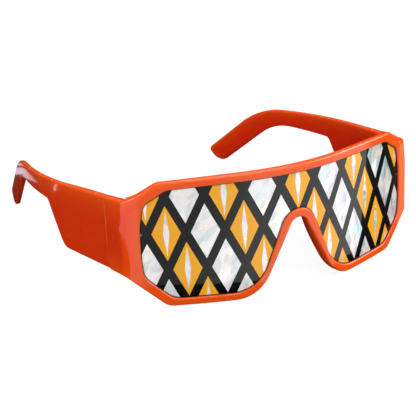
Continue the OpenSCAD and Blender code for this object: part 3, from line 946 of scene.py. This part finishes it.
def nickelSteel():
    material, tree, shader = newMaterial("nickelledSteel")
    place = objectPlace(tree)
    detail = placeDetail(tree, place, steel["fineness"])
    rubbed = noise(tree, place, steel["rubbedScale"], detail=3.0)
    scratched = times(tree, detail["Scratches"], steel["scratchShare"])
    colour = mixColour(tree, rubbed, steel["rubbedColour"], steel["brightColour"])
    feed(tree, shader, {
        "Base Color": mixColour(tree, scratched, colour, steel["scratchColour"]),
        "Roughness": roughened(tree, steel["roughness"], detail),
        "Metallic": 1.0,
    })
    bumped(tree, shader, detail, steel["relief"])
    return material


metalMaterial = nickelSteel()
print("Made the materials")


def dress(piece, material, body, slot, *replaced):
    # a finished piece gets its material, its body and the imported nodes that it stands in for; its slot is
    # not used
    piece.data.materials.clear()
    piece.data.materials.append(material)
    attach(piece, body)
    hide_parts(*replaced)


dress(frontShell, plasticMaterial, "front", "frame_plastic", "front_frame")
dress(lensShell, lensMaterial, "front", "lens_plastic", "shield_lens")
dress(filmSheet, filmMaterial, "front", "printed_film", "print_film")
dress(templeRight, plasticMaterial, "arm_right", "frame_plastic", "temple_right")
dress(templeLeft, plasticMaterial, "arm_left", "frame_plastic", "temple_left")
for nodeName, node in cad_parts.items():
    if nodeName.startswith("hinge_") or nodeName.endswith(("screws_right", "screws_left")):
        for materialSlot in node.material_slots:
            materialSlot.material = metalMaterial
print("Dressed every piece")

# The studio: floor, cards, world, lamps and camera, in metres. Four numbers in a row are as in the print:
# the floor's glow follows the distance from the middle, what reflections see of the world follows its
# direction sideways and upwards, and the shade in front of the glasses follows x.
studio = {
    "floorHalf": 6.0,
    "floorColour": (0.22, 0.22, 0.22, 1),
    "floorSpecular": 0.1,
    "floorGlow": (0.3, 1.5, 0.80, 0.92),
    "floorMirrored": 0.74,
    "dull": 0.9,
    "worldStrength": 0.45,
    "paleSide": (-0.45, 0.10, 0.06, 0.30),
    "paleAbove": (0.26, 0.40, 0.1, 1.0),
    "cardBlack": (0.01, 0.01, 0.01, 1),
    "frontShade": (-0.068, -0.012, 0.65, 0.0),
}
# outlines of the cards, seen from above
cardOutlines = {
    "darkCard": [(-1.5, 0.75), (-0.174, -0.012), (-0.130, 0.007), (-0.139, -0.030), (-0.138, -0.081),
                 (-0.1095, -0.105), (-0.095, -0.101), (-0.078, -0.086), (-0.068, -0.088),
                 (-0.061, -0.0913), (-0.0457, -0.0958), (-0.032, -0.0990), (-0.017, -0.1015),
                 (0.015, -0.1000), (0.045, -0.0885), (0.150, -0.108), (1.5, -0.37), (1.5, 2.5), (-1.5, 2.5)],
    "earCard": [(-0.0960, 0.1110), (-0.0807, 0.1198), (-0.0608, 0.1281), (-0.0591, 0.1322),
                (-0.0400, 0.1305), (-0.0400, 0.1470), (-0.0570, 0.1445), (-0.0660, 0.1425),
                (-0.0716, 0.1400), (-0.0813, 0.1300)],
    "earCardFar": [(-0.0570, 0.1480), (-0.0400, 0.1500), (-0.0400, 0.1700), (-0.0560, 0.1564),
                   (-0.0697, 0.1525), (-0.0712, 0.1460)],
    "bendCard": [(-0.1224, 0.1079), (-0.1252, 0.1020), (-0.1270, 0.0943), (-0.1253, 0.0910),
                 (-0.1196, 0.0902), (-0.1192, 0.0841), (-0.1165, 0.0862), (-0.1172, 0.0914),
                 (-0.1228, 0.0933), (-0.1245, 0.0956), (-0.1222, 0.1005)],
    "edgeCard": [(0.80, -0.30), (1.30, -0.30), (1.30, 0.20), (0.80, 0.20)],
    "rimCard": [(0.070, -0.0735), (0.200, -0.0728), (0.240, -0.020), (0.070, -0.030)],
    "frontCard": [(-0.9, -1.46), (1.5, -1.5), (1.5, 0.0), (-0.020, 0.0), (-0.0676, -0.0828),
                  (-0.0951, -0.1281), (-0.1111, -0.1545)],
}


def stagePlane(name, corners, height, material):
    # one flat face, level at its height, which belongs to the studio and not to the part
    mesh = bpy.data.meshes.new(name)
    mesh.from_pydata([(x, y, height) for x, y in corners], [], [list(range(len(corners)))])
    mesh.materials.append(material)
    plane = bpy.data.objects.new(name, mesh)
    bpy.context.collection.objects.link(plane)
    return plane


def mirrorRay(tree, path):
    # 1 for a ray that a surface has mirrored or let through
    return calculate(tree, "MAXIMUM", path["Is Glossy Ray"], path["Is Transmission Ray"])


def paleFloor():
    # The camera sees the floor white, and whiter far off, where the lamps don't reach. Reflections see it
    # pale, and it keeps the shadow of the part.
    material, tree, shader = newMaterial("paleFloor")
    feed(tree, shader, {
        "Base Color": studio["floorColour"],
        "Roughness": studio["dull"],
        "Specular IOR Level": studio["floorSpecular"],
    })
    farOff = addNode(tree, "ShaderNodeVectorMath", {0: objectPlace(tree)}, operation="LENGTH")
    path = addNode(tree, "ShaderNodeLightPath").outputs
    seen = times(tree, path["Is Camera Ray"], spread(tree, farOff.outputs["Value"], *studio["floorGlow"]))
    mirrored = times(tree, mirrorRay(tree, path), studio["floorMirrored"])
    strength = plus(tree, seen, mirrored)
    glow = addNode(tree, "ShaderNodeEmission", {"Color": (1, 1, 1, 1), "Strength": strength})
    lit = addNode(tree, "ShaderNodeAddShader", {0: shader.outputs[0], 1: glow.outputs[0]})
    feed(tree, tree.nodes["Material Output"], {"Surface": lit.outputs[0]})
    return material


far = studio["floorHalf"]
stagePlane("studioFloor", [(-far, -far), (far, -far), (far, far), (-far, far)], 0, paleFloor())


def cardMaterial(name, colour, strength):
    material, tree, shader = newMaterial(name)
    feed(tree, shader, {
        "Base Color": studio["cardBlack"],
        "Roughness": studio["dull"],
        "Specular IOR Level": 0.0,
        "Emission Color": colour,
        "Emission Strength": strength,
    })
    return material


def shadeMaterial():
    # lets the floor through, and less of it to the left, by a smooth step of x
    material, tree, shader = newMaterial("frontShade")
    feed(tree, shader, {"Base Color": studio["cardBlack"]})
    x = addNode(tree, "ShaderNodeSeparateXYZ", {0: objectPlace(tree)}).outputs[0]
    clear = addNode(tree, "ShaderNodeBsdfTransparent").outputs[0]
    step = spread(tree, x, *studio["frontShade"], "SMOOTHSTEP")
    blend = addNode(tree, "ShaderNodeMixShader", {0: step, 1: clear, 2: shader.outputs[0]})
    feed(tree, tree.nodes["Material Output"], {"Surface": blend.outputs[0]})
    return material


# cards that only reflections see, each with its height: those on the floor shape what the front, the lens
# and the temples mirror
studioCards = [
    ("frontCard", 0.0002, shadeMaterial()),
    ("darkCard", 0.0004, cardMaterial("darkCard", (0, 0, 0, 1), 0.0)),
    ("earCard", 0.0007, cardMaterial("earCard", (0.82, 0.93, 1.0, 1), 0.9)),
    ("bendCard", 0.0007, cardMaterial("bendCard", (1.0, 0.80, 0.72, 1), 2.6)),
    ("rimCard", 0.0007, cardMaterial("rimCard", (1.0, 0.90, 0.45, 1), 0.9)),
    ("earCardFar", 0.0007, cardMaterial("earCardFar", (0.90, 0.86, 0.90, 1), 0.8)),
    ("edgeCard", 0.8, cardMaterial("edgeCard", (1.0, 0.95, 0.9, 1), 8.0)),
]
for cardName, height, material in studioCards:
    card = stagePlane(cardName, cardOutlines[cardName], height, material)
    card.visible_camera = False
    card.visible_diffuse = False
    card.visible_shadow = False
    card.visible_transmission = False

world = bpy.data.worlds.new("studioWorld")
bpy.context.scene.world = world
world.use_nodes = True
worldTree = world.node_tree
worldPath = addNode(worldTree, "ShaderNodeLightPath").outputs
mirrored = mirrorRay(worldTree, worldPath)
direction = addNode(worldTree, "ShaderNodeTexCoord").outputs["Generated"]
towards = addNode(worldTree, "ShaderNodeSeparateXYZ", {0: direction}).outputs
# reflections see a studio that is dark to the left and near the horizon, and pale higher up to the right
paleSide = spread(worldTree, towards[0], *studio["paleSide"])
paleAbove = spread(worldTree, towards[2], *studio["paleAbove"])
mirroredStrength = times(worldTree, mirrored, times(worldTree, paleSide, paleAbove))
litStrength = times(worldTree, minus(worldTree, 1.0, mirrored), studio["worldStrength"])
strength = plus(worldTree, mirroredStrength, litStrength)
# the camera sees plain white
strength = calculate(worldTree, "MAXIMUM", worldPath["Is Camera Ray"], strength)
feed(worldTree, worldTree.nodes["Background"], {"Color": (1, 1, 1, 1), "Strength": strength})


def softLamp(name, place, aim, size, power):
    # an area lamp that is turned from its place towards its aim
    data = bpy.data.lights.new(name, "AREA")
    data.shape = "RECTANGLE"
    data.size, data.size_y = size
    data.energy = power
    lamp = bpy.data.objects.new(name, data)
    bpy.context.collection.objects.link(lamp)
    lamp.location = place
    direction = np.array(aim) - np.array(place)
    lamp.rotation_euler = (math.atan2(math.hypot(direction[0], direction[1]), -direction[2]), 0,
                           math.atan2(direction[1], direction[0]) - math.pi / 2)


# each lamp's place, what it is aimed at, its size, all in metres, and its power in watts
lamps = {
    "frontBox": ((0.10, -1.25, 0.75), (0, -0.05, 0.03), (1.4, 0.9), 12.0),
    "keyBox": ((1.20, -0.60, 0.65), (0, -0.05, 0.03), (1.2, 1.0), 17.0),
    "sideBox": ((-1.20, -0.30, 0.55), (0, 0, 0.02), (0.6, 0.6), 6.5),
    "topBox": ((0.1, 0.1, 1.3), (0, 0, 0), (1.0, 0.8), 8.0),
}
for lampName, values in lamps.items():
    softLamp(lampName, *values)

# the camera of the photograph, with its focal length in mm and its turns in degrees
view = {
    "focalLength": 119.284,
    "sensorWidth": 36.0,
    "shift": (-0.1082, -0.0322),
    "place": (-0.25674, -0.53890, 0.21710),
    "turns": (71.1373, 3.2602, -29.041),
}
cameraData = bpy.data.cameras.new("photoCamera")
cameraData.sensor_width = view["sensorWidth"]
cameraData.lens = view["focalLength"]
cameraData.shift_x, cameraData.shift_y = view["shift"]
photoCamera = bpy.data.objects.new("photoCamera", cameraData)
bpy.context.collection.objects.link(photoCamera)
photoCamera.location = view["place"]
photoCamera.rotation_euler = [math.radians(turn) for turn in view["turns"]]
bpy.context.scene.camera = photoCamera
bpy.context.scene.view_settings.view_transform = "Standard"
print("Lit the studio and placed the camera")
